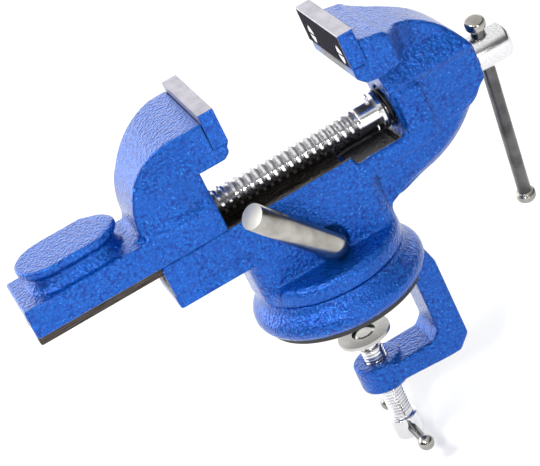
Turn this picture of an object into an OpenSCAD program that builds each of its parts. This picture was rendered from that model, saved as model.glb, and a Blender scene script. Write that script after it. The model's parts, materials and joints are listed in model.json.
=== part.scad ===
// Clamp-on swivel bench vise with a small anvil on the sliding jaw.
// Origin: the swivel axis at the underside of the base, where the bench top lies.
// +X points to the spindle handle, +Z up.

/* [Jaws] */
// Width of both jaws
jaw_w = 50; // [48:1:52]
// Opening between the two jaw plates as modelled
jaw_gap = 57.5; // [50:0.5:58]
// Thickness of a jaw plate
plate_t = 7; // [6:0.5:7]
// Height of a jaw plate
plate_h = 16; // [14:0.5:16]
// Height of the jaw tops above the bench
jaw_top = 115; // [114:0.5:116]

/* [Slide and channel] */
// Overall length of the sliding bar
bar_len = 89.4; // [86:0.2:92]
// Width of the sliding bar
bar_w = 34.6; // [33:0.2:36]
// Width of the channel casting
channel_w = 32; // [31:0.5:33]
// Height of the machined ways above the bench
way_z = 60.8; // [60:0.1:61]
// Width of the slot between the two ways
slot_w = 26.4; // [26:0.1:27]

/* [Spindle] */
// Outside diameter of the spindle thread
spindle_d = 12; // [11.6:0.1:12]
// Lead of the spindle thread
lead = 3.66; // [3:0.01:4]
// Height of the spindle axis above the bench
spindle_z = 66.8; // [66.6:0.1:67]
// Diameter of the spindle head
head_d = 17; // [16:0.5:18]

/* [Handle] */
// Diameter of the tommy bar
tommy_d = 6.2; // [5.8:0.1:6.4]
// Distance between the two knob centres
tommy_len = 104; // [90:1:106]
// Lean of the tommy bar from vertical, in degrees
tommy_lean = 17.4; // [0:0.2:25]

/* [Swivel base] */
// Largest diameter of the base flange
flange_d = 78.8; // [77:0.2:80]
// Diameter of the ring under the body
ring_d = 68.6; // [67:0.2:69]
// Diameter of the swivel post
post_d = 22; // [20:0.5:22]
// Diameter of the lock lever rod
lever_d = 11.4; // [10:0.2:11.4]

/* [Bench clamp] */
// Largest bench thickness that the clamp takes
bench_max = 30; // [26:1:34]
// Bench thickness that the clamp foot is drawn at
bench_now = 22; // [16:1:24]

/* [Hidden] */
$fn = 96;
// Radial running clearance of a turning or sliding shaft
run = 0.05;
// Gap between faces that pass each other
face_gap = 0.1;

// Positions along X
fixed_x = 38;
moving_x = fixed_x - jaw_gap;
channel_x0 = -66.5;
pocket_x = 26;
slot_x1 = 47.5;
wall_x = 51.8;
nose_x = 91.5;

// Spindle group
spindle_r = spindle_d / 2;
thread_depth = 1.2;
spindle_x0 = -56;
washer_x = 45.5;
washer_r = 9;
washer_t = 1.5;
spring_wire_r = 0.65;
split_pin_x = 43.75;
split_pin_r = 1.2;
head_r = head_d / 2;
head_x0 = 92.5;
head_len = 17.3;
tommy_x = 98.5;
tommy_r = tommy_d / 2;
knob_r = 4.6;
knob_h = 6;
// Distance of the upper knob's centre from the spindle axis
knob_up = 14.4;

// Slide and channel
bar_z0 = way_z + face_gap;
bar_z1 = 74.4;
bar_x1 = moving_x - 14.8;
bar_x0 = bar_x1 - bar_len;
tongue_w = slot_w - 0.4;
tongue_z0 = 55.6;
slot_z = 47;
pocket_z = 51;
channel_z0 = 39;
channel_cut = 3;
border_z = 56.4;
border_top = 76;
border_x = 63.8;
trough_r = 6.6;
nut_x0 = moving_x - 34;
nut_len = 18;
nut_w = 18;
nut_h = 18;

// Anvil
anvil_x = moving_x - 75.7;
anvil_l = 46;
anvil_w = 28.4;
anvil_z = 85.3;

// Jaw plates
plate_z0 = jaw_top - plate_h;
screw_y = 16.7;
screw_z = jaw_top - 11;
screw_r = 2.5;
screw_head_r = 4.4;

// Swivel
base_z0 = 1;
base_top = 17;
ring_z0 = base_top + 0.2;
ring_z1 = 26.5;
post_r = post_d / 2;
post_z0 = 10;
post_z1 = 42;
groove_z = 31.6;
lever_x = 2;
lever_r = lever_d / 2;
lever_bend = [lever_x, -22.5, groove_z];
lever_tip = [-26.7, -38.5, 71.6];
stem_r = 5;

// Bench clamp
spine_x0 = 28;
spine_x1 = 40;
arm_z1 = -bench_max - 8;
arm_z0 = arm_z1 - 11;
clamp_r = 5;
foot_r = 12;
foot_t = 4;
clamp_bar_r = 2;
clamp_bar_len = 44;
spigot_r = 2.5;
// Underside of the clamp foot, and height of the clamp bar, as drawn
clamp_top = -bench_now - foot_t;
clamp_bar_z = arm_z0 - 24;

// Points of an arc about c, from angle a0 to a1 in degrees
function arc(c, r, a0, a1, n = 8) =
    [for (i = [0:n]) c + r * [cos(a0 + (a1 - a0) * i / n), sin(a0 + (a1 - a0) * i / n)]];

// A side outline drawn in X and Z, extruded to a width centred on Y = 0
module side(w) {
    rotate([90, 0, 0]) linear_extrude(w, center = true) children();
}

// A plan outline drawn in X and Y, from z0 up to z1
module plan(z0, z1) {
    translate([0, 0, z0]) linear_extrude(z1 - z0) children();
}

// A cylinder along X from x0 to x1, about the spindle axis
module x_rod(r, x0, x1) {
    translate([x0, 0, spindle_z]) rotate([0, 90, 0]) cylinder(r = r, h = x1 - x0);
}

// A block given by its lowest and highest corners
module block(lo, hi) {
    translate(lo) cube(hi - lo);
}

// A rectangle from x0 to x1 and y0 to y1 with rounded corners, as exact arcs
module round_rect(x0, x1, y0, y1, r) {
    polygon(concat(
        arc([x1 - r, y0 + r], r, -90, 0), arc([x1 - r, y1 - r], r, 0, 90),
        arc([x0 + r, y1 - r], r, 90, 180), arc([x0 + r, y0 + r], r, 180, 270)));
}

// ---- Base -------------------------------------------------------------------
// Half section of the flange, from the bench face up to the swivel face
module flange_section() {
    r = flange_d / 2;
    polygon(concat([[0, base_z0], [r - 6, base_z0]],
        arc([r - 6, base_z0 + 6], 6, -90, 40),
        arc([r + 0.6, base_top - 1.4], 6, 205, 170),
        [[ring_d / 2 - 0.2, base_top], [0, base_top]]));
}

// Cast flange with the clamp's spine, lower arm and screw boss
module base_casting() {
    color("royalblue") difference() {
        union() {
            rotate_extrude() flange_section();
            side(22) polygon([[spine_x0, base_z0 + 2], [spine_x0, arm_z1 + 4], [spine_x0 - 4, arm_z1],
                [0, arm_z1], [0, arm_z0 + 2], [spine_x0, arm_z0], [spine_x1 - 6, arm_z0],
                [spine_x1, arm_z0 + 6], [spine_x1, -4], [spine_x1 - 3, base_z0 + 5]]);
            translate([0, 0, arm_z0]) cylinder(r = 11, h = arm_z1 - arm_z0 + 2);
        }
        // Seat of the rubber pad
        translate([0, 0, -1]) intersection() {
            cylinder(r = 36, h = 4);
            block([-40, -40, 0], [spine_x0 - 0.5, 40, 4]);
        }
        // Seat of the swivel post and its screw
        translate([0, 0, post_z0]) cylinder(r = post_r, h = 20);
        cylinder(r = 3, h = 20);
        cylinder(r = 5.8, h = 7);
        // Clamp screw bore
        translate([0, 0, arm_z0 - 1]) cylinder(r = clamp_r + run, h = arm_z1 - arm_z0 + 4);
    }
}

// Rubber pad between the base and the bench
module bench_pad() {
    color([0.05, 0.05, 0.05]) intersection() {
        cylinder(r = 36, h = 3);
        block([-40, -40, 0], [spine_x0 - 0.5, 40, 3]);
    }
}

// Steel post that the body turns on, with a groove for the lock screw
module swivel_post() {
    color("silver") difference() {
        rotate_extrude() polygon([[0, post_z0], [post_r, post_z0], [post_r, groove_z - 3.5],
            [post_r - 1.5, groove_z - 3], [post_r - 1.5, groove_z + 3], [post_r, groove_z + 3.5],
            [post_r, post_z1 - 1], [post_r - 1, post_z1], [0, post_z1]]);
        translate([0, 0, post_z0 - 1]) cylinder(r = 3, h = 19);
    }
}

// Cap screw that holds the post to the base
module post_screw() {
    color("dimgray") difference() {
        union() {
            translate([0, 0, 3.4]) cylinder(r = 5.3, h = 3.6);
            translate([0, 0, 7]) cylinder(r = 3, h = 18);
        }
        translate([0, 0, 3]) cylinder(r = 2.9, h = 3, $fn = 6);
    }
}

// ---- Body -------------------------------------------------------------------
// Outline of the swept arm; its outer curve can be drawn in by an inset
module arm_outline(inset = 0) {
    polygon(concat([[20, ring_z1 - 1], [32, ring_z1], [33.5, 30.5], [42, 31.2 + inset]],
        arc([46, 82], 48.5 - inset, -80, -29, 10),
        [[nose_x, 61], [nose_x, 75.5]],
        arc([50, 62], 44, 20, 79, 10),
        [[52, 107.6], [49, 92], [wall_x - 1, 57], [20, 57]]));
}

// Full-width side face: channel, and the L-shaped border round the pocket
module side_face_outline() {
    polygon(concat([[channel_x0, channel_z0 + 7], [channel_x0, way_z], [pocket_x - 1, way_z],
            [pocket_x - 0.6, 57.6], [pocket_x + 1.6, border_z]],
        [[wall_x - 3, border_z], [wall_x - 0.8, border_z + 2], [wall_x, border_z + 5]],
        [[wall_x, border_top], [border_x, border_top - 1], [border_x, 56]],
        arc([border_x - 5, 54], 5, 0, -85, 6),
        arc([34.5, 40.8], 7.9, 90, 172, 6),
        [[26.6, 36], [26.6, 28], [-26, 28], [-26, channel_z0 + 7]]));
}

// Cross section of the spindle housing, from its half width low down to that under the ridge
module housing_section(low, high) {
    c = channel_w / 2;
    polygon([[-low, 52], [low, 52], [high, 76.2], [c, 77.6], [c, 78.4], [12, 88],
        [-12, 88], [-c, 78.4], [-c, 77.6], [-high, 76.2]]);
}

// Head that carries the fixed jaw plate
module fixed_head_outline() {
    polygon(concat([[fixed_x + 0.4, plate_z0], [fixed_x + plate_t, plate_z0],
            [fixed_x + plate_t, jaw_top - 5.6], [52, 107.8]],
        arc([54.5, 104.5], 3, 70, 0, 4),
        [[57.5, 92.5], [55, 91], [48.3, 89.6], [41.6, 90.6], [fixed_x + 0.4, 94]]));
}

// Cast body: channel, neck, swivel ring, swept arm and fixed jaw
module body_casting() {
    w = jaw_w / 2;
    c = channel_w / 2;
    color("royalblue") difference() {
        union() {
            side(channel_w) side_face_outline();
            // Lower part of the channel, undercut below its side face and flaring to the bottom
            translate([channel_x0, 0, 0]) rotate([90, 0, 90]) linear_extrude(-20 - channel_x0)
                polygon([[0.6 - c, channel_z0], [c - 0.6, channel_z0],
                    [c - channel_cut, channel_z0 + 7.5], [channel_cut - c, channel_z0 + 7.5]]);
            // Web of the arm, narrower at its outer curve
            side(23) arm_outline(3.2);
            side(17) arm_outline();
            // Spindle housing with sloping shoulders, set back inside the border
            intersection() {
                side(40) arm_outline();
                union() {
                    rotate([90, 0, 90]) linear_extrude(nose_x) housing_section(12, 14.4);
                    block([pocket_x + 4, -14.2, 50], [wall_x + 2, 14.2, 58.4]);
                }
            }
            side(jaw_w) fixed_head_outline();
            // Shoulders that narrow from the head to the arm
            intersection() {
                side(jaw_w) arm_outline();
                plan(91, jaw_top) polygon([[50, -w], [57.5, -w], [64, -15.5], [71, -12], [80, -12],
                    [80, 12], [71, 12], [64, 15.5], [57.5, w], [50, w]]);
            }
            // Neck and swivel ring
            plan(ring_z0, channel_z0 + 8) round_rect(-34, 33, -c, c, 8);
            rotate_extrude() polygon(concat([[0, ring_z0], [ring_d / 2, ring_z0]],
                arc([ring_d / 2 - 3, ring_z1 - 4], 3, 0, 75, 5), [[0, ring_z1]]));
        }
        // Slot between the ways, shallower past their end
        block([channel_x0 - 1, -slot_w / 2, slot_z], [pocket_x, slot_w / 2, way_z + 1]);
        block([pocket_x - 1, -slot_w / 2, pocket_z], [slot_x1, slot_w / 2, way_z + 1]);
        // Swivel post bore
        translate([0, 0, ring_z0 - 1]) cylinder(r = post_r + run, h = post_z1 + 1.5 - ring_z0);
        // Lock screw bore and its counterbore
        translate([lever_x, -c - 1, groove_z]) rotate([-90, 0, 0]) cylinder(r = stem_r + run, h = c);
        translate([lever_x, -c - 1, groove_z]) rotate([-90, 0, 0]) cylinder(r = lever_r + 1.7, h = 4);
        // Spindle bore and the spring's counterbore
        x_rod(spindle_r + run, wall_x - 4, nose_x + 1);
        x_rod(9.8, wall_x - 4, wall_x + 2);
        // Tapped holes behind the fixed jaw plate
        for (s = [-1, 1]) translate([fixed_x, s * screw_y, screw_z]) rotate([0, 90, 0])
            cylinder(r = screw_r, h = 16);
    }
}

// Jaw plate with two countersunk holes; the gripping face looks along +X
module jaw_plate() {
    color("dimgray") difference() {
        block([-plate_t, -jaw_w / 2, plate_z0], [0, jaw_w / 2, jaw_top]);
        for (s = [-1, 1]) translate([0, s * screw_y, screw_z]) rotate([0, -90, 0]) {
            translate([0, 0, -0.01]) cylinder(r1 = screw_head_r, r2 = screw_r, h = 3);
            cylinder(r = screw_r, h = plate_t + 1);
        }
    }
}

// Pair of countersunk screws for a jaw plate
module jaw_screws() {
    color("silver") for (s = [-1, 1]) translate([-0.3, s * screw_y, screw_z]) rotate([0, -90, 0])
        difference() {
            union() {
                cylinder(r1 = screw_head_r - 0.3, r2 = screw_r - 0.01, h = 2.7);
                cylinder(r = screw_r, h = plate_t + 6);
            }
            translate([-0.5, -3, -1]) cube([1, 6, 2]);
        }
}

module fixed_jaw_plate() {
    translate([fixed_x, 0, 0]) mirror([1, 0, 0]) jaw_plate();
}

module fixed_jaw_screws() {
    translate([fixed_x, 0, 0]) mirror([1, 0, 0]) jaw_screws();
}

module moving_jaw_plate() {
    translate([moving_x, 0, 0]) jaw_plate();
}

module moving_jaw_screws() {
    translate([moving_x, 0, 0]) jaw_screws();
}

// Bent rod: a screw into the body with its handle leaning over the channel
module lock_lever() {
    reach = lever_tip - lever_bend;
    lean = atan2(norm([reach[0], reach[1]]), reach[2]);
    turn = atan2(reach[1], reach[0]);
    color("silver") {
        translate([lever_x, 0, groove_z]) rotate([90, 0, 0]) {
            translate([0, 0, post_r - 1.2]) cylinder(r = 2.5, h = 2);
            translate([0, 0, post_r + 0.4]) cylinder(r = stem_r, h = -lever_bend[1] - post_r - 0.4);
            translate([0, 0, channel_w / 2 - 2.6])
                cylinder(r = lever_r, h = -lever_bend[1] - channel_w / 2 + 2.6);
        }
        translate(lever_bend) sphere(r = lever_r + 0.06);
        translate(lever_bend) rotate([0, lean, turn]) cylinder(r = lever_r, h = norm(reach));
    }
}

// ---- Sliding jaw ------------------------------------------------------------
// Side outline of the moving head, with its domed back
module moving_head_outline() {
    m = moving_x;
    polygon(concat([[m - plate_t, plate_z0], [m, plate_z0], [m, 98], [m - 1.8, 97.2],
            [m - 1.2, 96], [m - 1.6, 94.4], [m - 4.4, 92.4], [m - 42, 92.4]],
        arc([m - 14.5, 78], 33.2, 152, 92, 10),
        [[m - plate_t, jaw_top - 3.6]]));
}

// Side outline of the pedestal under the head, flared into the bar
module pedestal_outline() {
    m = moving_x;
    polygon(concat([[m - 14.8, 62], [m - 14.8, 89.4], [m - 10, 93]],
        arc([m - 14.5, 78], 33.2, 120, 176, 8),
        arc([m - 52.6, 79.6], 5, 0, -90, 5),
        [[m - 56, 74], [m - 56, 62]]));
}

// Cast slide: bar, anvil, pedestal and moving head
module slide_casting() {
    m = moving_x;
    w = jaw_w / 2;
    b = bar_w / 2;
    color("royalblue") difference() {
        union() {
            // Bar with the guide tongue under it
            block([bar_x0, -b, bar_z0], [bar_x1, b, bar_z1]);
            block([bar_x0, -tongue_w / 2, tongue_z0], [bar_x1, tongue_w / 2, bar_z0 + 1]);
            // Fillet band between the bar and the pedestal
            intersection() {
                translate([m - 47, 0, 0]) rotate([90, 0, 90]) linear_extrude(32.2) polygon([[-b, 74],
                    [b, 74], [b, 74.6], [15, 77.6], [-15, 77.6], [-b, 74.6]]);
                block([m - 47, -b, 73], [bar_x1, b, 80]);
            }
            intersection() {
                side(30) pedestal_outline();
                plan(62, 96) polygon(concat([[m - 10, -15], [m - 10, 15]],
                    arc([m - 44, 3], 12, 90, 150, 3), [[m - 60, 10], [m - 60, -10]],
                    arc([m - 44, -3], 12, 210, 270, 3)));
            }
            // Head, tapering to the back in plan
            intersection() {
                side(jaw_w) moving_head_outline();
                plan(90, jaw_top) polygon([[m, -w], [m, w], [m - 16, w], [m - 42, 14],
                    [m - 50, 10.5], [m - 50, -10.5], [m - 42, -14], [m - 16, -w]]);
            }
            anvil();
        }
        // Trough that clears the spindle, open below
        x_rod(trough_r, bar_x0 + 6, bar_x1 + 1);
        block([bar_x0 - 1, -trough_r, tongue_z0 - 1], [bar_x1 + 1, trough_r, spindle_z - 5]);
        block([bar_x0 + 6, -trough_r, tongue_z0 - 1], [bar_x1 + 1, trough_r, spindle_z]);
        // Seat of the nut, and the grub screw that holds it
        block([nut_x0, -nut_w / 2, tongue_z0 - 1], [nut_x0 + nut_len, nut_w / 2, spindle_z + nut_h / 2]);
        translate([nut_x0 + nut_len / 2, 0, spindle_z]) rotate([-90, 0, 0]) cylinder(r = 2.5, h = 20);
        // Tapped holes behind the moving jaw plate
        for (s = [-1, 1]) translate([m, s * screw_y, screw_z]) rotate([0, -90, 0])
            cylinder(r = screw_r, h = 16);
    }
}

// Oval anvil with a concave foot
module anvil() {
    n = 5;
    for (i = [0:n - 1]) {
        grow = 4 * (1 - sin(90 * i / n));
        translate([anvil_x, 0, bar_z1 + i * 1.2])
            oval(anvil_l - 7 + grow, anvil_w - 5 + grow, 1.2);
    }
    translate([anvil_x, 0, bar_z1 + n * 1.2]) oval(anvil_l - 4, anvil_w - 3, 1.3);
    translate([anvil_x, 0, bar_z1 + n * 1.2 + 1.3]) oval(anvil_l, anvil_w, anvil_z - bar_z1 - n * 1.2 - 1.3);
    translate([anvil_x, 0, bar_z1 - 1]) oval(anvil_l - 7, anvil_w - 5, 3);
}

// Upright oval of overall length l, width w and height h
module oval(l, w, h) {
    linear_extrude(h) union() {
        for (s = [-1, 1]) translate([s * (l - w) / 2, 0]) circle(d = w);
        square([l - w, w], center = true);
    }
}

// Block nut in the pedestal
module jaw_nut() {
    color("goldenrod") difference() {
        block([nut_x0, -nut_w / 2, spindle_z - nut_h / 2],
            [nut_x0 + nut_len, nut_w / 2, spindle_z + nut_h / 2]);
        x_rod(spindle_r + run, nut_x0 - 1, nut_x0 + nut_len + 1);
    }
}

// Grub screw that keeps the nut in its seat
module nut_grub_screw() {
    color("dimgray") translate([nut_x0 + nut_len / 2, nut_w / 2, spindle_z]) rotate([-90, 0, 0])
        difference() {
            cylinder(r = 2.5, h = 5);
            translate([0, 0, 2.6]) cylinder(r = 1.4, h = 3, $fn = 6);
        }
}

// ---- Spindle group ----------------------------------------------------------
// Half section of the thread, as rings one lead apart
function thread_points() = let(n = floor((fixed_x - spindle_x0 - 3) / lead))
    [for (i = [0:n - 1], p = [[0.1, 0], [0.4, 1], [0.7, 1], [1, 0]])
        [spindle_r - thread_depth * (p[1]), spindle_x0 + 2 + lead * (i + p[0])]];

// Screw spindle with its plain shank and cross-drilled head
module spindle() {
    tail = spindle_x0;
    color("silver") difference() {
        translate([0, 0, spindle_z]) rotate([0, 90, 0]) rotate_extrude() polygon(concat(
            [[0, tail], [spindle_r - 1.2, tail], [spindle_r, tail + 1.2]],
            thread_points(),
            [[spindle_r, head_x0], [head_r - 0.8, head_x0], [head_r, head_x0 + 0.8],
             [head_r, head_x0 + head_len - 1.4], [head_r - 1.4, head_x0 + head_len],
             [0, head_x0 + head_len]]));
        translate([tommy_x, 0, spindle_z]) rotate([tommy_lean, 0, 0])
            cylinder(r = tommy_r + run, h = 30, center = true);
        translate([split_pin_x, 0, spindle_z]) cylinder(r = split_pin_r, h = 30, center = true);
    }
}

// Washer that the split pin backs
module thrust_washer() {
    color("silver") difference() {
        x_rod(washer_r, washer_x, washer_x + washer_t);
        x_rod(spindle_r, washer_x - 1, washer_x + washer_t + 1);
    }
}

// Compression spring between the washer and the arm, drawn as closed rings
module thrust_spring() {
    x0 = washer_x + washer_t;
    color([0.06, 0.06, 0.06]) translate([x0, 0, spindle_z]) rotate([0, 90, 0])
        for (i = [0:3]) translate([0, 0, spring_wire_r + i * 1.8])
            rotate_extrude() translate([washer_r - 1, 0]) circle(r = spring_wire_r, $fn = 24);
}

// Split pin through the spindle, eye up and legs spread below
module split_pin() {
    reach = spindle_r + 1;
    color("silver") translate([split_pin_x, 0, spindle_z]) {
        difference() {
            translate([0, 0, -reach]) cylinder(r = split_pin_r, h = 2 * reach);
            translate([-0.1, -2, -reach - 1]) cube([0.2, 4, 5]);
        }
        translate([0, 0, reach + 0.2]) rotate([0, 90, 0]) rotate_extrude()
            translate([1.2, 0]) circle(r = 0.65, $fn = 20);
    }
}

// Plain washer between the head and the arm's nose
module head_washer() {
    color("silver") difference() {
        x_rod(8, nose_x + 0.1, head_x0);
        x_rod(spindle_r, nose_x - 1, head_x0 + 1);
    }
}

// Frame of the tommy bar: its own axis is Z, with the spindle axis at Z = 0
module on_tommy() {
    translate([tommy_x, 0, spindle_z]) rotate([tommy_lean, 0, 0]) children();
}

module tommy_bar() {
    color("silver") on_tommy() translate([0, 0, knob_up - tommy_len])
        cylinder(r = tommy_r, h = tommy_len);
}

// Barrel knob at one end of the tommy bar
module knob() {
    rotate_extrude() polygon(concat([[0, -knob_h / 2], [knob_r - 1.2, -knob_h / 2]],
        arc([knob_r - 1.6, 0.6 - knob_h / 2 + 1], 1.6, -70, 0, 4),
        arc([knob_r - 2, knob_h / 2 - 2], 2, 0, 80, 4), [[0, knob_h / 2]]));
}

module tommy_knob_upper() {
    color("silver") on_tommy() translate([0, 0, knob_up]) difference() {
        knob();
        translate([0, 0, -knob_h]) cylinder(r = tommy_r, h = knob_h);
    }
}

module tommy_knob_lower() {
    color("silver") on_tommy() translate([0, 0, knob_up - tommy_len]) difference() {
        mirror([0, 0, 1]) knob();
        cylinder(r = tommy_r, h = knob_h);
    }
}

// ---- Bench clamp ------------------------------------------------------------
module clamp_screw() {
    color("silver") difference() {
        union() {
            translate([0, 0, clamp_bar_z]) cylinder(r = clamp_r, h = clamp_top - 3 - clamp_bar_z);
            translate([0, 0, clamp_top - 3.1]) cylinder(r = clamp_r - 1.5, h = 3);
            translate([0, 0, clamp_top - 1]) cylinder(r = spigot_r, h = 3.1);
            translate([0, 0, clamp_bar_z - 5]) cylinder(r = clamp_r + 1.5, h = 10);
        }
        translate([0, 0, clamp_bar_z]) rotate([90, 0, 0])
            cylinder(r = clamp_bar_r + run, h = 20, center = true);
    }
}

// Swivel foot that bears on the underside of the bench
module clamp_foot() {
    color("silver") difference() {
        rotate_extrude() polygon([[0, clamp_top], [foot_r - 5, clamp_top], [foot_r, clamp_top + 2.5],
            [foot_r, clamp_top + foot_t], [0, clamp_top + foot_t]]);
        translate([0, 0, clamp_top - 1]) cylinder(r = spigot_r + run, h = foot_t);
        translate([0, 0, clamp_top + 2]) cylinder(r = 5.5, h = foot_t);
    }
}

// Rivet head that keeps the foot on the screw
module foot_rivet() {
    color("dimgray") translate([0, 0, clamp_top + 2.1])
        rotate_extrude() polygon([[0, 0], [4.8, 0], [4.8, 0.8], [3.6, 1.5], [0, 1.5]]);
}

// Sliding bar that turns the clamp screw
module clamp_bar() {
    color("silver") translate([0, 0, clamp_bar_z]) rotate([90, 0, 0])
        cylinder(r = clamp_bar_r, h = clamp_bar_len, center = true);
}

// Ball cap on one end of the clamp bar, bored for it
module clamp_bar_cap(s) {
    color("silver") translate([0, s * clamp_bar_len / 2, clamp_bar_z]) rotate([-s * 90, 0, 0])
        rotate_extrude() polygon(concat([[clamp_bar_r, 0], [clamp_bar_r, -2.6]],
            arc([0, 0], 3.6, -46, 90, 12), [[0, 0]]));
}

module clamp_bar_cap_near() {
    clamp_bar_cap(-1);
}

module clamp_bar_cap_far() {
    clamp_bar_cap(1);
}

base_casting();
bench_pad();
swivel_post();
post_screw();
body_casting();
fixed_jaw_plate();
fixed_jaw_screws();
lock_lever();
slide_casting();
moving_jaw_plate();
moving_jaw_screws();
jaw_nut();
nut_grub_screw();
spindle();
thrust_washer();
thrust_spring();
split_pin();
head_washer();
tommy_bar();
tommy_knob_upper();
tommy_knob_lower();
clamp_screw();
clamp_foot();
foot_rivet();
clamp_bar();
clamp_bar_cap_near();
clamp_bar_cap_far();
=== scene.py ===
import json
import math

import bmesh
import bpy
import numpy as np
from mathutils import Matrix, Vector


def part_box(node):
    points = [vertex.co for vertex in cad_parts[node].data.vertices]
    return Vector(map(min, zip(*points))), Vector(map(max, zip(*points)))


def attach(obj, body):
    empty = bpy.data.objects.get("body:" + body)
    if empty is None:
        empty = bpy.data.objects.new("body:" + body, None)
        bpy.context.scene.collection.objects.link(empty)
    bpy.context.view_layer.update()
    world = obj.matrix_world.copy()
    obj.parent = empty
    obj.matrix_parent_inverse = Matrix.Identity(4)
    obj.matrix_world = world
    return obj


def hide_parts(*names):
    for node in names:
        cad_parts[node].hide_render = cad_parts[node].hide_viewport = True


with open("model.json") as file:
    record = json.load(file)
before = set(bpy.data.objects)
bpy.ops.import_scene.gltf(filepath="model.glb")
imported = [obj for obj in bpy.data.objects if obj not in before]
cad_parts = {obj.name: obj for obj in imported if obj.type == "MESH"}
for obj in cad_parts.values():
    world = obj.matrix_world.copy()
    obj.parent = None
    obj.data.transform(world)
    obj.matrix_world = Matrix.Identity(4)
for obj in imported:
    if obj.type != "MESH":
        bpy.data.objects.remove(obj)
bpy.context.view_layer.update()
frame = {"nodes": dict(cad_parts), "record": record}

import openvdb
from mathutils import Matrix, Vector

MM = 0.001
nodes = frame["nodes"]


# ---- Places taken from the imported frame, in millimetres ----------------------
def box_mm(node):
    lo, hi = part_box(node)
    return np.array(lo) / MM, np.array(hi) / MM


def joint(name):
    return next(j for j in frame["record"]["behaviour"]["joints"] if j["name"] == name)


spindle_lo, spindle_hi = box_mm("spindle")
screw_axis_z = (spindle_lo[2] + spindle_hi[2]) / 2
head_washer_x = box_mm("head_washer")[1][0]
plate_x = box_mm("fixed_jaw_plate")[0][0]
moving_plate_x = box_mm("moving_jaw_plate")[1][0]
tommy_axis = Vector(joint("tommy_slide")["axis"])
# Height of the machined ways, and where along X the pocket behind them starts and ends
way_top = 60.8
pocket_x = 26.0
pocket_end = 48.5
slot_half = 13.2
pocket_floor = 50.5
# Spindle thread
spindle_r = 6.0
spindle_lead = 3.66
# Where the tommy bar crosses the spindle
tommy_x = 98.5


# ---- Mesh helpers -------------------------------------------------------------
def add_mesh(name, verts_mm, faces, sharp):
    """New smooth object from vertices in millimetres, with edges over sharp degrees kept."""
    mesh = bpy.data.meshes.new(name)
    mesh.from_pydata([tuple(v) for v in (np.asarray(verts_mm, float) * MM)], [], faces)
    mesh.update()
    bm = bmesh.new()
    bm.from_mesh(mesh)
    bmesh.ops.remove_doubles(bm, verts=bm.verts, dist=1e-7)
    bmesh.ops.recalc_face_normals(bm, faces=bm.faces)
    bm.to_mesh(mesh)
    bm.free()
    obj = bpy.data.objects.new(name, mesh)
    bpy.context.scene.collection.objects.link(obj)
    mark_sharp(mesh, sharp)
    return obj


def mark_sharp(mesh, degrees):
    mesh.shade_smooth()
    mesh.set_sharp_from_angle(angle=math.radians(degrees))


def frame_on(origin, axis):
    """Rows: two directions across the axis, then the axis; with its origin, in millimetres."""
    w = Vector(axis).normalized()
    u = w.orthogonal().normalized()
    v = w.cross(u)
    return np.array([u, v, w]), np.array(origin, float)


def turned(name, profile, origin, axis, sides=64, sharp=35):
    """Solid turned about an axis from (radius, distance) points."""
    rows, start = frame_on(origin, axis)
    verts = []
    for r, h in profile:
        for i in range(sides):
            a = 2 * math.pi * i / sides
            verts.append(start + r * math.cos(a) * rows[0] + r * math.sin(a) * rows[1] + h * rows[2])
    faces = []
    n = len(profile)
    for k in range(n - 1):
        for i in range(sides):
            j = (i + 1) % sides
            faces.append((k * sides + i, k * sides + j, (k + 1) * sides + j, (k + 1) * sides + i))
    faces.append(tuple(range(sides))[::-1])
    faces.append(tuple((n - 1) * sides + i for i in range(sides)))
    return add_mesh(name, verts, faces, sharp=sharp)


def rounded(profile, radius, steps=4):
    """Profile with its inner corners replaced by short arcs."""
    out = [profile[0]]
    for before, here, after in zip(profile, profile[1:], profile[2:]):
        p, c, q = (np.array(t, float) for t in (before, here, after))
        d0, d1 = p - c, q - c
        cut = min(radius, np.linalg.norm(d0) * 0.45, np.linalg.norm(d1) * 0.45)
        a = c + d0 / np.linalg.norm(d0) * cut
        b = c + d1 / np.linalg.norm(d1) * cut
        for i in range(steps + 1):
            t = i / steps
            out.append(tuple((1 - t) ** 2 * a + 2 * t * (1 - t) * c + t ** 2 * b))
    out.append(profile[-1])
    return out


def swept(name, path, radii, sides=24, sharp=40):
    """Round rod along a path of points in millimetres, with a radius at each point."""
    pts = [Vector(p) for p in path]
    side = None
    verts = []
    for i, p in enumerate(pts):
        ahead = pts[min(i + 1, len(pts) - 1)]
        behind = pts[max(i - 1, 0)]
        t = (ahead - behind).normalized()
        side = t.orthogonal().normalized() if side is None else (side - t * side.dot(t)).normalized()
        other = t.cross(side)
        for k in range(sides):
            a = 2 * math.pi * k / sides
            verts.append(p + radii[i] * (math.cos(a) * side + math.sin(a) * other))
    faces = []
    for i in range(len(pts) - 1):
        for k in range(sides):
            m = (k + 1) % sides
            faces.append((i * sides + k, i * sides + m, (i + 1) * sides + m, (i + 1) * sides + k))
    faces.append(tuple(range(sides))[::-1])
    faces.append(tuple((len(pts) - 1) * sides + k for k in range(sides)))
    return add_mesh(name, verts, faces, sharp=sharp)


def cut(piece, cutter):
    """Takes the cutter away from the piece for good."""
    mod = piece.modifiers.new("cut", "BOOLEAN")
    mod.object = cutter
    mod.operation = "DIFFERENCE"
    mod.solver = "EXACT"
    graph = bpy.context.evaluated_depsgraph_get()
    mesh = bpy.data.meshes.new_from_object(piece.evaluated_get(graph))
    piece.modifiers.clear()
    piece.data = mesh
    mark_sharp(mesh, 35)
    bpy.data.objects.remove(cutter)


# ---- Castings: the CAD solid as a distance field, with cast fillets -----------
VOXEL = 0.55


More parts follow.
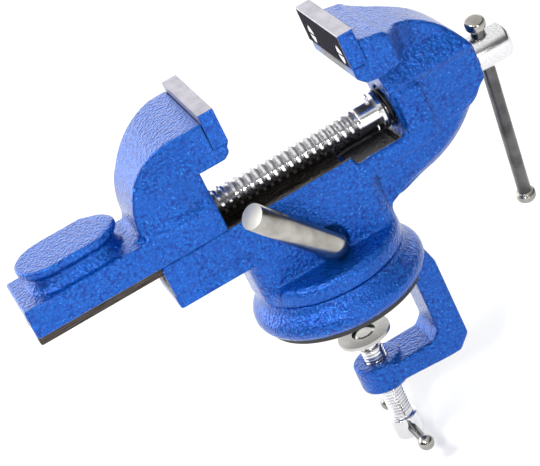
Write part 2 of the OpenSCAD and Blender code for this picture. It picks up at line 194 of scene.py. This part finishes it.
def smooth_field(field, sigma):
    """Gaussian blur of a 3-D array; sigma in voxels."""
    reach = int(3 * sigma + 0.5)
    offsets = np.arange(-reach, reach + 1)
    kernel = np.exp(-0.5 * (offsets / sigma) ** 2)
    kernel = (kernel / kernel.sum()).astype(np.float32)
    for axis in range(3):
        pad = [(0, 0)] * 3
        pad[axis] = (reach, reach)
        padded = np.pad(field, pad, mode="edge")
        total = np.zeros_like(field)
        for k, weight in enumerate(kernel):
            window = [slice(None)] * 3
            window[axis] = slice(k, k + field.shape[axis])
            total += weight * padded[tuple(window)]
        field = total
    return field


def cast(name, node, fillet, wide, where):
    """Casting made from a CAD node. fillet and wide are blur widths in millimetres, and
    where(x, y, z) says from 0 to 1 where the wide one applies."""
    mesh = nodes[node].data
    mesh.calc_loop_triangles()
    points = np.empty(len(mesh.vertices) * 3, np.float32)
    mesh.vertices.foreach_get("co", points)
    points = points.reshape(-1, 3) / MM
    tris = np.empty(len(mesh.loop_triangles) * 3, np.int32)
    mesh.loop_triangles.foreach_get("vertices", tris)
    band = 3 * wide / VOXEL + 3
    transform = openvdb.createLinearTransform(voxelSize=VOXEL)
    grid = openvdb.FloatGrid.createLevelSetFromPolygons(
        np.ascontiguousarray(points, np.float32), triangles=tris.reshape(-1, 3).astype(np.uint32),
        transform=transform, halfWidth=band)
    low = np.floor(points.min(0) / VOXEL).astype(int) - 6
    high = np.ceil(points.max(0) / VOXEL).astype(int) + 6
    field = np.zeros(high - low, np.float32)
    grid.copyToArray(field, ijk=tuple(int(v) for v in low))
    axes = [(np.arange(low[i], high[i]) * VOXEL).astype(np.float32) for i in range(3)]
    x, y, z = axes[0][:, None, None], axes[1][None, :, None], axes[2][None, None, :]
    share = np.clip(where(x, y, z), 0, 1).astype(np.float32)
    result = smooth_field(field, fillet / VOXEL) * (1 - share) + smooth_field(field, wide / VOXEL) * share
    out = openvdb.FloatGrid(float(band * VOXEL))
    out.transform = openvdb.createLinearTransform(voxelSize=VOXEL)
    out.copyFromArray(result, ijk=tuple(int(v) for v in low), tolerance=0)
    verts, quads = out.convertToQuads(0.0)
    piece_mesh = bpy.data.meshes.new(name)
    piece_mesh.from_pydata([tuple(v) for v in verts.astype(float) * MM], [], quads[:, ::-1].tolist())
    piece_mesh.update()
    piece_mesh.shade_smooth()
    obj = bpy.data.objects.new(name, piece_mesh)
    bpy.context.scene.collection.objects.link(obj)
    return obj


def step(value, low, high):
    """0 below low, 1 above high, straight between."""
    return np.clip((value - low) / (high - low), 0, 1)


# ---- Materials ------------------------------------------------------------------
class Graph:
    """Small helper for building one node material on object coordinates."""

    def __init__(self, name, **sockets):
        self.mat = bpy.data.materials.new(name)
        self.mat.use_nodes = True
        self.tree = self.mat.node_tree
        self.shader = self.tree.nodes["Principled BSDF"]
        for key, value in sockets.items():
            self.shader.inputs[key.replace("_", " ")].default_value = value
        self.coords = self.tree.nodes.new("ShaderNodeTexCoord").outputs["Object"]

    def link(self, source, target):
        if isinstance(source, (int, float)):
            target.default_value = source
        elif isinstance(source, (tuple, list)):
            target.default_value = (*source, 1) if len(target.default_value) == 4 else source
        else:
            self.tree.links.new(source, target)

    def math(self, kind, a, b=0.0, clamp=False):
        node = self.tree.nodes.new("ShaderNodeMath")
        node.operation = kind
        node.use_clamp = clamp
        self.link(a, node.inputs[0])
        self.link(b, node.inputs[1])
        return node.outputs[0]

    def noise(self, scale_mm, detail=2.0, vector=None, roughness=0.5):
        """Noise whose features are about scale_mm across."""
        node = self.tree.nodes.new("ShaderNodeTexNoise")
        node.inputs["Scale"].default_value = 1000.0 / scale_mm
        node.inputs["Detail"].default_value = detail
        node.inputs["Roughness"].default_value = roughness
        self.link(vector or self.coords, node.inputs["Vector"])
        return node.outputs["Fac"]

    def cells(self, size_mm, feature="SMOOTH_F1", vector=None):
        node = self.tree.nodes.new("ShaderNodeTexVoronoi")
        node.feature = feature
        node.inputs["Scale"].default_value = 1000.0 / size_mm
        self.link(vector or self.coords, node.inputs["Vector"])
        return node.outputs["Distance"]

    def stretched(self, x, y, z):
        node = self.tree.nodes.new("ShaderNodeMapping")
        self.link(self.coords, node.inputs["Vector"])
        node.inputs["Scale"].default_value = (x, y, z)
        return node.outputs[0]

    def axis(self, index):
        node = self.tree.nodes.new("ShaderNodeSeparateXYZ")
        self.link(self.coords, node.inputs[0])
        return node.outputs[index]

    def band(self, value, low_mm, high_mm):
        """0 below low, 1 above high, for a coordinate in metres."""
        node = self.tree.nodes.new("ShaderNodeMapRange")
        node.interpolation_type = "SMOOTHSTEP"
        self.link(value, node.inputs["Value"])
        node.inputs["From Min"].default_value = low_mm * MM
        node.inputs["From Max"].default_value = high_mm * MM
        return node.outputs["Result"]

    def remap(self, value, low, high, to_low=0.0, to_high=1.0):
        node = self.tree.nodes.new("ShaderNodeMapRange")
        self.link(value, node.inputs["Value"])
        for key, number in (("From Min", low), ("From Max", high), ("To Min", to_low), ("To Max", to_high)):
            node.inputs[key].default_value = number
        return node.outputs["Result"]

    def mix(self, share, a, b):
        node = self.tree.nodes.new("ShaderNodeMix")
        node.data_type = "RGBA"
        self.link(share, node.inputs["Factor"])
        self.link(a, node.inputs["A"])
        self.link(b, node.inputs["B"])
        return node.outputs["Result"]

    def bump(self, height, depth_mm, strength=1.0, before=None):
        node = self.tree.nodes.new("ShaderNodeBump")
        node.inputs["Strength"].default_value = strength
        node.inputs["Distance"].default_value = depth_mm * MM
        self.link(height, node.inputs["Height"])
        if before:
            self.link(before, node.inputs["Normal"])
        return node.outputs["Normal"]

    def set(self, **sources):
        for key, source in sources.items():
            self.link(source, self.shader.inputs[key.replace("_", " ")])
        return self.mat


def hammertone(name, machined=None, tones=None, shaded_pocket=None):
    """Blue hammertone paint. machined(graph) gives a 0 to 1 mask of bare metal in two tones,
    and the last argument gives a mask of the pocket inside, where near-black painted shade goes."""
    g = Graph(name, IOR=1.4, Coat_Weight=0.15, Coat_Roughness=0.05)
    flake = 0.55
    warp = g.noise(5.0, 2.0)
    size = g.cells(1.3)
    fine = g.noise(0.6, 2.0)
    patch = g.noise(14.0, 2.0)
    # Painted glints: small light-cyan dots in the colour stand in for highlights from small bright lamps.
    painted_glint = g.remap(g.noise(0.9, 1.0, None, 0.4), 0.68, 0.74)
    bumps = g.math("ADD", g.math("MULTIPLY", size, 0.8), g.math("MULTIPLY", fine, 0.5))
    height = g.math("ADD", bumps, g.math("MULTIPLY", warp, 0.35))
    crest = g.remap(bumps, 0.35, 0.80)
    colour = g.mix(crest, (0.003, 0.118, 0.500), (0.0005, 0.026, 0.230))
    colour = g.mix(g.remap(patch, 0.35, 0.7, 0.0, 0.6), colour, (0.001, 0.078, 0.42))
    colour = g.mix(painted_glint, colour, (0.030, 0.240, 0.760))
    rough = g.remap(patch, 0.3, 0.7, 0.13, 0.20)
    metal = flake
    normal = g.bump(height, 0.55, 1.0)
    g.link(normal, g.shader.inputs["Coat Normal"])
    if machined:
        mask = machined(g)
        grain = g.noise(0.5, 3.0, g.stretched(0.05, 1.0, 1.0))
        bare = g.mix(g.remap(grain, 0.3, 0.7), tones[0], tones[1])
        colour = g.mix(mask, colour, bare)
        rough = g.math("ADD", g.math("MULTIPLY", rough, g.math("SUBTRACT", 1.0, mask)),
                       g.math("MULTIPLY", mask, 0.42))
        metal = g.math("MAXIMUM", mask, flake)
    # Painted shade: inside the pocket the paint is turned near black and not metallic.
    if shaded_pocket:
        shade = shaded_pocket(g)
        colour = g.mix(shade, colour, (0.004, 0.004, 0.006))
        metal = g.math("MULTIPLY", metal, g.math("SUBTRACT", 1.0, shade))
    return g.set(Base_Color=colour, Roughness=rough, Metallic=metal, Normal=normal)


def steel(name, light, dark, rough, stretch=(1, 1, 1)):
    """Bare or plated metal with a fine grain and faint tarnish."""
    g = Graph(name, Metallic=1.0)
    grain = g.noise(0.6, 3.0, g.stretched(*stretch))
    stain = g.noise(9.0, 3.0)
    colour = g.mix(g.remap(stain, 0.35, 0.7), light, dark)
    low, high = rough
    return g.set(Base_Color=colour, Roughness=g.remap(g.math("ADD", grain, stain), 0.7, 1.3, low, high),
                 Normal=g.bump(grain, 0.02, 0.6))


def groove_shaded_thread(name, radius):
    """Bright plated thread with painted shade, near black, in its grooves."""
    g = Graph(name, Metallic=1.0)
    y = g.axis(1)
    z = g.math("SUBTRACT", g.axis(2), screw_axis_z * MM)
    away = g.math("SQRT", g.math("ADD", g.math("MULTIPLY", y, y), g.math("MULTIPLY", z, z)))
    # Painted shade: below the crest band the thread grooves are near black, except past x = 37.5 mm.
    unshaded = g.math("MAXIMUM", g.band(away, radius - 1.8, radius - 1.1), g.band(g.axis(0), 36.5, 37.5))
    grain = g.noise(0.6, 3.0)
    bright = g.mix(g.remap(grain, 0.35, 0.7), (0.80, 0.80, 0.81), (0.60, 0.59, 0.60))
    colour = g.mix(unshaded, (0.012, 0.012, 0.014), bright)
    rough = g.math("SUBTRACT", g.remap(grain, 0.3, 0.7, 0.5, 0.6), g.math("MULTIPLY", unshaded, 0.36))
    return g.set(Base_Color=colour, Roughness=rough, Normal=g.bump(grain, 0.02, 0.6))


def rubber(name):
    g = Graph(name)
    grain = g.noise(0.8, 3.0)
    colour = g.mix(grain, (0.012, 0.012, 0.013), (0.035, 0.034, 0.034))
    rough = g.remap(grain, 0.3, 0.7, 0.55, 0.8)
    return g.set(Base_Color=colour, Roughness=rough, Normal=g.bump(grain, 0.08, 0.7))


def black_oxide(name):
    g = Graph(name, Metallic=0.8)
    grain = g.noise(0.7, 3.0)
    colour = g.mix(grain, (0.012, 0.012, 0.013), (0.05, 0.048, 0.046))
    rough = g.remap(grain, 0.3, 0.7, 0.28, 0.5)
    return g.set(Base_Color=colour, Roughness=rough, Normal=g.bump(grain, 0.02, 0.6))


def ground_plate(name):
    """Jaw plate: ground lavender-grey top and back."""
    g = Graph(name, Metallic=1.0)
    grain = g.noise(0.35, 2.0, g.stretched(1.0, 0.04, 1.0))
    stain = g.noise(7.0, 3.0)
    colour = g.mix(g.remap(stain, 0.3, 0.7), (0.41, 0.395, 0.44), (0.30, 0.29, 0.335))
    rough = g.remap(grain, 0.3, 0.7, 0.34, 0.5)
    return g.set(Base_Color=colour, Roughness=rough, Normal=g.bump(grain, 0.03, 0.5))


def knurled_face(name):
    """Dark cross-hatched gripping face."""
    g = Graph(name, Metallic=0.0, Specular_IOR_Level=0.12)
    grain = g.noise(0.5, 3.0)
    colour = g.mix(grain, (0.006, 0.005, 0.010), (0.026, 0.023, 0.034))
    rough = g.remap(grain, 0.3, 0.7, 0.7, 0.85)
    return g.set(Base_Color=colour, Roughness=rough, Normal=g.bump(grain, 0.03, 0.6))


def way_mask(g):
    """Machined ways and slot walls of the body."""
    y = g.math("ABSOLUTE", g.axis(1))
    inside = g.math("SUBTRACT", 1.0, g.band(y, 15.5, 15.7))
    top = g.band(g.axis(2), way_top - 0.35, way_top - 0.15)
    slot = g.math("MULTIPLY", g.math("SUBTRACT", 1.0, g.band(y, slot_half + 0.1, slot_half + 0.4)),
                  g.band(g.axis(2), 44.0, 45.0))
    left = g.math("SUBTRACT", 1.0, g.band(g.axis(0), pocket_x - 1.0, pocket_x - 0.5))
    return g.math("MULTIPLY", g.math("MAXIMUM", g.math("MULTIPLY", top, inside), slot), left, clamp=True)


def pocket_shade_mask(g):
    """Inside of the pocket that the slide runs into, where painted shade goes."""
    y = g.math("ABSOLUTE", g.axis(1))
    narrow = g.math("SUBTRACT", 1.0, g.band(y, slot_half + 0.1, slot_half + 0.4))
    along = g.math("MULTIPLY", g.band(g.axis(0), pocket_x - 1.0, pocket_x - 0.5),
                   g.math("SUBTRACT", 1.0, g.band(g.axis(0), pocket_end - 0.5, pocket_end + 0.5)))
    above = g.band(g.axis(2), pocket_floor - 0.2, pocket_floor + 0.3)
    return g.math("MULTIPLY", g.math("MULTIPLY", narrow, along), above)


def tongue_mask(g):
    """Machined tongue under the sliding bar, and its trough."""
    return g.math("SUBTRACT", 1.0, g.band(g.axis(2), 60.3, 60.6))


paint_body = hammertone("blue_hammertone_body", way_mask, ((0.020, 0.018, 0.017), (0.16, 0.145, 0.13)),
                        pocket_shade_mask)
paint_slide = hammertone("blue_hammertone_slide", tongue_mask, ((0.025, 0.020, 0.018), (0.09, 0.075, 0.065)))
paint_base = hammertone("blue_hammertone_base")
plated = steel("bright_plating", (0.80, 0.80, 0.81), (0.62, 0.61, 0.62), (0.10, 0.22))
thread_metal = groove_shaded_thread("groove_shaded_thread", spindle_r)
polished = steel("polished_rod", (0.42, 0.405, 0.37), (0.24, 0.23, 0.21), (0.14, 0.26))
rod_end = steel("brushed_rod_end", (0.62, 0.61, 0.56), (0.52, 0.51, 0.47), (0.48, 0.6))
handle = steel("drawn_steel", (0.13, 0.13, 0.13), (0.06, 0.06, 0.06), (0.22, 0.38), stretch=(1, 1, 0.15))
turned_steel = steel("turned_steel", (0.52, 0.51, 0.49), (0.36, 0.35, 0.33), (0.25, 0.42))
bronze = steel("nut_bronze", (0.52, 0.36, 0.16), (0.36, 0.24, 0.10), (0.3, 0.45))
plate_metal = ground_plate("ground_jaw_steel")
knurl_metal = knurled_face("knurled_jaw_face")
pad_rubber = rubber("black_rubber")
dark_steel = black_oxide("black_oxide_steel")


def finish_piece(piece, body, slot, *replaced, material=None):
    """Sets a new piece's material and body, and hides the CAD nodes that it stands for. The slot argument is
    not used.
    """
    if material:
        piece.data.materials.clear()
        piece.data.materials.append(material)
    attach(piece, body)
    if replaced:
        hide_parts(*replaced)
    return piece


def dress(node, material, bevel_mm=0.0):
    """Gives a kept CAD node its material, and softens its edges with a bevel."""
    obj = nodes[node]
    obj.data.materials.clear()
    obj.data.materials.append(material)
    if bevel_mm:
        mod = obj.modifiers.new("edge", "BEVEL")
        mod.width = bevel_mm * MM
        mod.segments = 2
        mod.limit_method = "ANGLE"
        mod.angle_limit = math.radians(40)
        mod.harden_normals = True


# ---- Pieces ---------------------------------------------------------------------
def arm_rim(x, y, z):
    """The outer curve of the swept arm, where the casting is rounded most."""
    centre_x, centre_z = 46, 82
    away = np.sqrt((x - centre_x) ** 2 + (z - centre_z) ** 2)
    return step(away, 38, 44) * step(x, 40, 50) * (1 - step(x, 84, 89)) + 0 * y


def make_castings():
    body = cast("body_casting_painted", "body_casting", 0.6, 1.8, arm_rim)
    finish_piece(body, "vise_body", "blue_paint", "body_casting", material=paint_body)

    def flare(x, y, z):
        return step(-x, 70, 74) * (1 - step(-x, 80, 84)) * step(z, 75, 76) + 0 * y
    slide = cast("slide_casting_painted", "slide_casting", 0.5, 1.3, flare)
    finish_piece(slide, "moving_jaw", "blue_paint", "slide_casting", material=paint_slide)

    def flange(x, y, z):
        return step(z, 5, 8) * (1 - step(z, 14.5, 16.5)) + 0 * x + 0 * y
    base = cast("base_casting_painted", "base_casting", 0.7, 1.5, flange)
    finish_piece(base, "clamp_base", "blue_paint", "base_casting", material=paint_base)


def thread_surface(name, radius, depth, lead, start, length, origin, axis, lead_in=3.0, sides=48):
    """Closed rod with a real helical thread from start to start + length along its axis."""
    rows, foot = frame_on(origin, axis)
    per_turn = 16
    stations = np.arange(0, length + 1e-6, lead / per_turn)
    verts = []
    for s in stations:
        fade = min(1, s / lead_in, (length - s) / lead_in + 0.001)
        for i in range(sides):
            a = 2 * math.pi * i / sides
            phase = (s / lead - i / sides) % 1.0
            groove = math.sin(math.pi * min(1, max(0, (phase - 0.40) / 0.60))) ** 0.5
            r = radius - depth * max(0, fade) * groove
            verts.append(foot + r * (math.cos(a) * rows[0] + math.sin(a) * rows[1]) + (start + s) * rows[2])
    faces = []
    for k in range(len(stations) - 1):
        for i in range(sides):
            j = (i + 1) % sides
            faces.append((k * sides + i, k * sides + j, (k + 1) * sides + j, (k + 1) * sides + i))
    faces.append(tuple(range(sides))[::-1])
    faces.append(tuple((len(stations) - 1) * sides + i for i in range(sides)))
    return add_mesh(name, verts, faces, sharp=50)


def join(name, *parts):
    """Makes one object of several."""
    bm = bmesh.new()
    for part in parts:
        bm.from_mesh(part.data)
        bpy.data.objects.remove(part)
    mesh = bpy.data.meshes.new(name)
    bm.to_mesh(mesh)
    bm.free()
    mark_sharp(mesh, 40)
    obj = bpy.data.objects.new(name, mesh)
    bpy.context.scene.collection.objects.link(obj)
    return obj


def make_spindle():
    axis_foot = (0, 0, screw_axis_z)
    r = spindle_r
    tail = spindle_lo[0]
    shank = plate_x
    head = head_washer_x
    head_r = (spindle_hi[2] - spindle_lo[2]) / 2
    end = spindle_hi[0]
    thread = thread_surface("thread", r - 0.01, 1.55, spindle_lead, tail + 1.5, shank - tail - 1.5,
                            axis_foot, (1, 0, 0))
    tip_profile = [(0.01, tail), (r - 1.3, tail), (r - 0.1, tail + 1.6), (r - 0.1, tail + 3)]
    tip = turned("tip", rounded(tip_profile, 0.3), axis_foot, (1, 0, 0))
    profile = [(0.01, shank - 2), (r - 0.1, shank - 2), (r, shank - 0.4), (r, head - 0.02), (head_r, head),
               (head_r, end - 1.5), (head_r - 1.5, end), (0.01, end)]
    body = turned("head", rounded(profile, 0.7), axis_foot, (1, 0, 0), sides=96)
    rows, start = frame_on((tommy_x, 0, screw_axis_z), tommy_axis)
    hole = turned("hole", [(3.2, -20), (3.2, 20)], start, tommy_axis, sides=40)
    cut(body, hole)
    spindle = join("spindle_threaded", thread, tip, body)
    finish_piece(spindle, "spindle", "plated_steel", "spindle", material=thread_metal)


def make_split_pin():
    """Two-legged pin with its loop above the spindle and its legs spread below."""
    leg_y, leg_z, loop_z, steps = 0.55, 5.8, 6.9, 8
    x = (box_mm("split_pin")[0][0] + box_mm("split_pin")[1][0]) / 2
    z = screw_axis_z
    parts = []
    for side in (-1, 1):
        path = [(x, side * leg_y, z - 5), (x, side * leg_y, z + leg_z)]
        for k in range(steps + 1):
            a = math.pi * k / steps
            out = leg_y + 1.15 * math.sin(a) if k < steps else 0.05
            path.append((x, side * out, z + loop_z + 1.3 * (1 - math.cos(a)) / 2 * 1.35))
        low = [(x, side * (0.6 + 0.5 * t ** 2), z - 5 - 2.6 * t) for t in (0.3, 0.6, 1.0)]
        path = low[::-1] + path
        parts.append(swept(f"leg_{side}", path, [0.6] * len(path), sides=12))
    pin = join("split_pin_bent", *parts)
    finish_piece(pin, "spindle", "plated_steel", "split_pin", material=plated)


def make_spring():
    lo, hi = box_mm("thrust_spring")
    wire = 0.62
    mean = (hi[2] - lo[2]) / 2 - 0.68
    turns = 3.6
    path = []
    count = 110
    for i in range(count + 1):
        t = i / count
        a = 2 * math.pi * turns * t
        flat = max(0.0, min(1.0, (t * turns - 0.5) / (turns - 1)))
        x = lo[0] + wire + (hi[0] - lo[0] - 2 * wire) * flat
        path.append((x, mean * math.cos(a), screw_axis_z + mean * math.sin(a)))
    spring = swept("thrust_spring_coil", path, [wire] * len(path), sides=14)
    finish_piece(spring, "spindle", "black_steel", "thrust_spring", material=dark_steel)


def make_jaw_plate(name, node, body, face_x, toward):
    """Plate with a cross-hatched gripping face, two countersinks and ground edges."""
    lo, hi = box_mm(node)
    depth, pitch, cell = 0.32, 1.9, 0.25
    screws = [-16.7, 16.7]
    screw_z = hi[2] - 11
    sink_r, sink_depth = 4.4, 2.8
    ys = np.linspace(lo[1], hi[1], int((hi[1] - lo[1]) / cell) + 1)
    zs = np.linspace(lo[2], hi[2], int((hi[2] - lo[2]) / cell) + 1)
    bevel = 0.35

    def sink(y, z):
        edge = min(y - lo[1], hi[1] - y, z - lo[2], hi[2] - z)
        if edge < bevel:
            return (bevel - edge) * 0.8
        away = min(math.hypot(y - s, z - screw_z) for s in screws)
        if away < sink_r:
            return min(sink_depth, (sink_r - away) * 1.5)
        if edge < 1.0 or away < sink_r + 0.5:
            return 0.0
        fall = 0.0
        for u in ((y + z) / math.sqrt(2), (y - z) / math.sqrt(2)):
            near = abs((u / pitch) % 1.0 - 0.5) * 2
            fall = max(fall, depth * max(0.0, 1 - near / 0.45))
        return fall
    verts, faces = [], []
    nz = len(zs)
    for y in ys:
        for z in zs:
            verts.append((face_x - toward * sink(y, z), y, z))
    for i in range(len(ys) - 1):
        for k in range(nz - 1):
            faces.append((i * nz + k, i * nz + k + 1, (i + 1) * nz + k + 1, (i + 1) * nz + k))
    back = face_x - toward * (hi[0] - lo[0])
    rim = [i * nz for i in range(len(ys))] + [(len(ys) - 1) * nz + k for k in range(1, nz)]
    rim += [i * nz + nz - 1 for i in range(len(ys) - 2, -1, -1)] + [k for k in range(nz - 2, 0, -1)]
    first = len(verts)
    for index in rim:
        verts.append((back, verts[index][1], verts[index][2]))
    for n in range(len(rim)):
        m = (n + 1) % len(rim)
        faces.append((rim[n], rim[m], first + m, first + n))
    faces.append(tuple(first + n for n in range(len(rim))))
    plate = add_mesh(name, verts, faces, sharp=25)
    plate.data.materials.append(plate_metal)
    plate.data.materials.append(knurl_metal)
    plate.data.materials.append(paint_base)
    inner = [abs(p.center.x / MM - face_x) < 3.0 and abs(p.normal.x) > 0.3
             and lo[1] + 0.4 < p.center.y / MM < hi[1] - 0.4 and lo[2] + 0.4 < p.center.z / MM < hi[2] - 0.4
             for p in plate.data.polygons]
    for polygon, is_face in zip(plate.data.polygons, inner):
        polygon.material_index = 1 if is_face and len(polygon.vertices) == 4 else 0
        if abs(polygon.normal.y) > 0.5 and not is_face:
            polygon.material_index = 2
    finish_piece(plate, body, "jaw_steel", node)


def make_lever():
    """Bent rod on its stem, with a brushed flat end."""
    stem_x, stem_z = 2.0, 31.6
    bend = Vector((stem_x, -22.5, stem_z))
    tip = Vector((-26.7, -38.5, 71.6))
    r = 5.7
    out = (tip - bend).normalized()
    start = Vector((stem_x, -13.4, stem_z))
    turn = 5.0
    before = bend + (start - bend).normalized() * turn
    after = bend + out * turn
    path = [start.lerp(before, t) for t in (0, 0.5, 1)]
    path += [before * (1 - t) ** 2 + bend * 2 * t * (1 - t) + after * t ** 2
             for t in (0.15, 0.3, 0.45, 0.6, 0.75, 0.9)]
    path += [after.lerp(tip, t) for t in (0, 0.5)]
    radii = [r] * len(path)
    for back, radius in ((0.35, r), (0.08, r - 0.10), (0.0, r - 0.30)):
        path.append(tip - out * back)
        radii.append(radius)
    rod = swept("rod", path, radii, sides=64)
    stem_profile = [(0.01, 9.8), (2.5, 9.8), (2.5, 11.4), (5.0, 12.2), (5.0, 15.5), (0.01, 15.5)]
    stem = turned("stem", rounded(stem_profile, 0.3), (stem_x, 0, stem_z), (0, -1, 0))
    lever = join("lock_lever_bent", rod, stem)
    finish_piece(lever, "lock_lever", "polished_rod", "lock_lever", material=polished)
    lever.data.materials.append(rod_end)
    for face in lever.data.polygons:
        if face.normal.dot(out) > 0.9 and (face.center / MM - tip).length < r:
            face.material_index = 1


def make_tommy_bar():
    """Straight bar through the spindle head, with a barrel knob on each end."""
    rows, centre = frame_on((tommy_x, 0, screw_axis_z), tommy_axis)
    up, length, r, knob_r, half = 14.4, 104.0, 3.1, 4.6, 3.0
    rod = turned("tommy_rod", rounded([(0.01, up - length), (r, up - length), (r, up), (0.01, up)], 0.3),
                 centre, tommy_axis, sides=64)
    finish_piece(rod, "tommy_bar", "handle_steel", "tommy_bar", material=handle)
    knob = [(r - 0.2, -half), (knob_r - 1.3, -half), (knob_r - 0.9, -half + 1.1),
            (knob_r - 0.1, -half + 1.6), (knob_r, half - 1.9), (knob_r - 0.7, half - 0.6),
            (knob_r - 2.2, half), (0.01, half)]
    for name, at, flip in (("tommy_knob_upper", up, 1), ("tommy_knob_lower", up - length, -1)):
        piece = turned(name + "_turned", rounded(knob, 0.5), centre + rows[2] * at,
                       tommy_axis * flip, sides=64)
        finish_piece(piece, "tommy_bar", "polished_rod", name, material=polished)


def make_clamp():
    bottom = box_mm("clamp_screw")[0][2]
    bar_z = (box_mm("clamp_bar")[0][2] + box_mm("clamp_bar")[1][2]) / 2
    top = box_mm("clamp_foot")[0][2]
    thread = thread_surface("clamp_thread", 4.99, 0.75, 1.5, bar_z + 6.5, top - 3.6 - bar_z - 6.5,
                            (0, 0, 0), (0, 0, 1), lead_in=1.5)
    head_profile = [(0.01, bottom), (6.5, bottom), (6.5, bar_z + 5), (4.9, bar_z + 5.6),
                    (4.9, bar_z + 8), (0.01, bar_z + 8)]
    head = turned("clamp_head", rounded(head_profile, 0.6), (0, 0, 0), (0, 0, 1))
    hole = turned("hole", [(2.05, -12), (2.05, 12)], (0, 0, bar_z), (0, 1, 0), sides=32)
    cut(head, hole)
    neck_profile = [(0.01, top - 5), (4.7, top - 5), (3.5, top - 3), (3.5, top - 0.1),
                    (2.5, top - 0.1), (2.5, top + 2), (0.01, top + 2)]
    neck = turned("clamp_neck", rounded(neck_profile, 0.2), (0, 0, 0), (0, 0, 1))
    screw = join("clamp_screw_threaded", thread, head, neck)
    finish_piece(screw, "clamp_screw", "plated_steel", "clamp_screw", material=plated)
    dress("clamp_foot", turned_steel, 0.4)
    dress("foot_rivet", turned_steel, 0.2)
    dress("clamp_bar", handle, 0.2)
    dress("clamp_bar_cap_near", polished)
    dress("clamp_bar_cap_far", polished)


make_castings()
make_spindle()
make_split_pin()
make_spring()
make_jaw_plate("fixed_jaw_plate_knurled", "fixed_jaw_plate", "vise_body", plate_x, -1)
make_jaw_plate("moving_jaw_plate_knurled", "moving_jaw_plate", "moving_jaw", moving_plate_x, 1)
make_lever()
make_tommy_bar()
make_clamp()
dress("bench_pad", pad_rubber, 0.3)
dress("swivel_post", turned_steel, 0.3)
dress("post_screw", dark_steel, 0.2)
dress("fixed_jaw_screws", plated, 0.15)
dress("moving_jaw_screws", plated, 0.15)
dress("jaw_nut", bronze, 0.4)
dress("nut_grub_screw", dark_steel, 0.1)
dress("thrust_washer", plated, 0.25)
dress("head_washer", turned_steel, 0.1)


# ---- Stage, light and camera -----------------------------------------------------
def make_floor(height_mm):
    bpy.ops.mesh.primitive_plane_add(size=8, location=(0, 0, height_mm * MM))
    floor = bpy.context.object
    floor.name = "floor"
    g = Graph("pale_floor", Roughness=0.9)
    shade = g.noise(400.0, 2.0)
    floor.data.materials.append(g.set(Base_Color=g.mix(shade, (0.93, 0.93, 0.935), (0.90, 0.90, 0.905))))


def area_light(name, place, target, size, watts):
    light = bpy.data.lights.new(name, "AREA")
    light.shape = "RECTANGLE"
    light.size, light.size_y = size
    light.energy = watts
    obj = bpy.data.objects.new(name, light)
    obj.location = place
    aim = Vector(target) - Vector(place)
    obj.rotation_euler = aim.to_track_quat("-Z", "Y").to_euler()
    bpy.context.scene.collection.objects.link(obj)


def make_world():
    """Dim studio with a bright white wall behind the vise, which the tops and backs reflect."""
    world = bpy.data.worlds.new("studio")
    world.use_nodes = True
    bpy.context.scene.world = world
    tree = world.node_tree
    coords = tree.nodes.new("ShaderNodeTexCoord")
    split = tree.nodes.new("ShaderNodeSeparateXYZ")
    tree.links.new(coords.outputs["Generated"], split.inputs[0])

    def fade(source, low, high, to_low, to_high):
        node = tree.nodes.new("ShaderNodeMapRange")
        node.interpolation_type = "SMOOTHSTEP"
        tree.links.new(source, node.inputs["Value"])
        for key, number in (("From Min", low), ("From Max", high), ("To Min", to_low), ("To Max", to_high)):
            node.inputs[key].default_value = number
        return node.outputs["Result"]

    def combine(kind, a, b):
        node = tree.nodes.new("ShaderNodeMath")
        node.operation = kind
        tree.links.new(a, node.inputs[0])
        tree.links.new(b, node.inputs[1])
        return node.outputs[0]
    wall = combine("MULTIPLY", fade(split.outputs[1], 0.25, 0.7, 0.0, 1.0),
                   fade(split.outputs[2], 0.45, 0.7, 2.1, 0.0))
    sky = fade(split.outputs[2], 0.25, 0.75, 0.06, 1.10)
    background = tree.nodes["Background"]
    tree.links.new(combine("MAXIMUM", wall, sky), background.inputs[0])
    background.inputs[1].default_value = 1.0


def make_camera():
    data = bpy.data.cameras.new("camera")
    data.lens = 147.84
    data.sensor_width = 36.0
    data.clip_start = 0.01
    camera = bpy.data.objects.new("camera", data)
    right = Vector((0.85750, -0.32520, -0.39866))
    up = Vector((0.49762, 0.32756, 0.80317))
    back = right.cross(up).normalized()
    turn = Matrix((right.normalized(), up.normalized(), back)).transposed()
    camera.matrix_world = Matrix.Translation(Vector((-138.925, -825.427, 453.955)) * MM) @ turn.to_4x4()
    bpy.context.scene.collection.objects.link(camera)
    bpy.context.scene.camera = camera


make_floor(box_mm("clamp_screw")[0][2] - 8.0)
make_world()
area_light("key_upper_left", (-0.55, -0.25, 0.75), (0, 0, 0.05), (0.22, 0.16), 3.6)
area_light("front_sparkle", (0.10, -0.95, 0.16), (0, 0, 0.05), (0.08, 0.08), 2.0)
area_light("back_left_panel", (-0.75, 0.70, 0.36), (0, 0, 0.07), (0.8, 0.5), 3.6)
area_light("side_sparkle", (-0.40, -0.80, 0.55), (0, 0, 0.05), (0.09, 0.09), 3.0)
make_camera()
bpy.context.scene.view_settings.view_transform = "Standard"
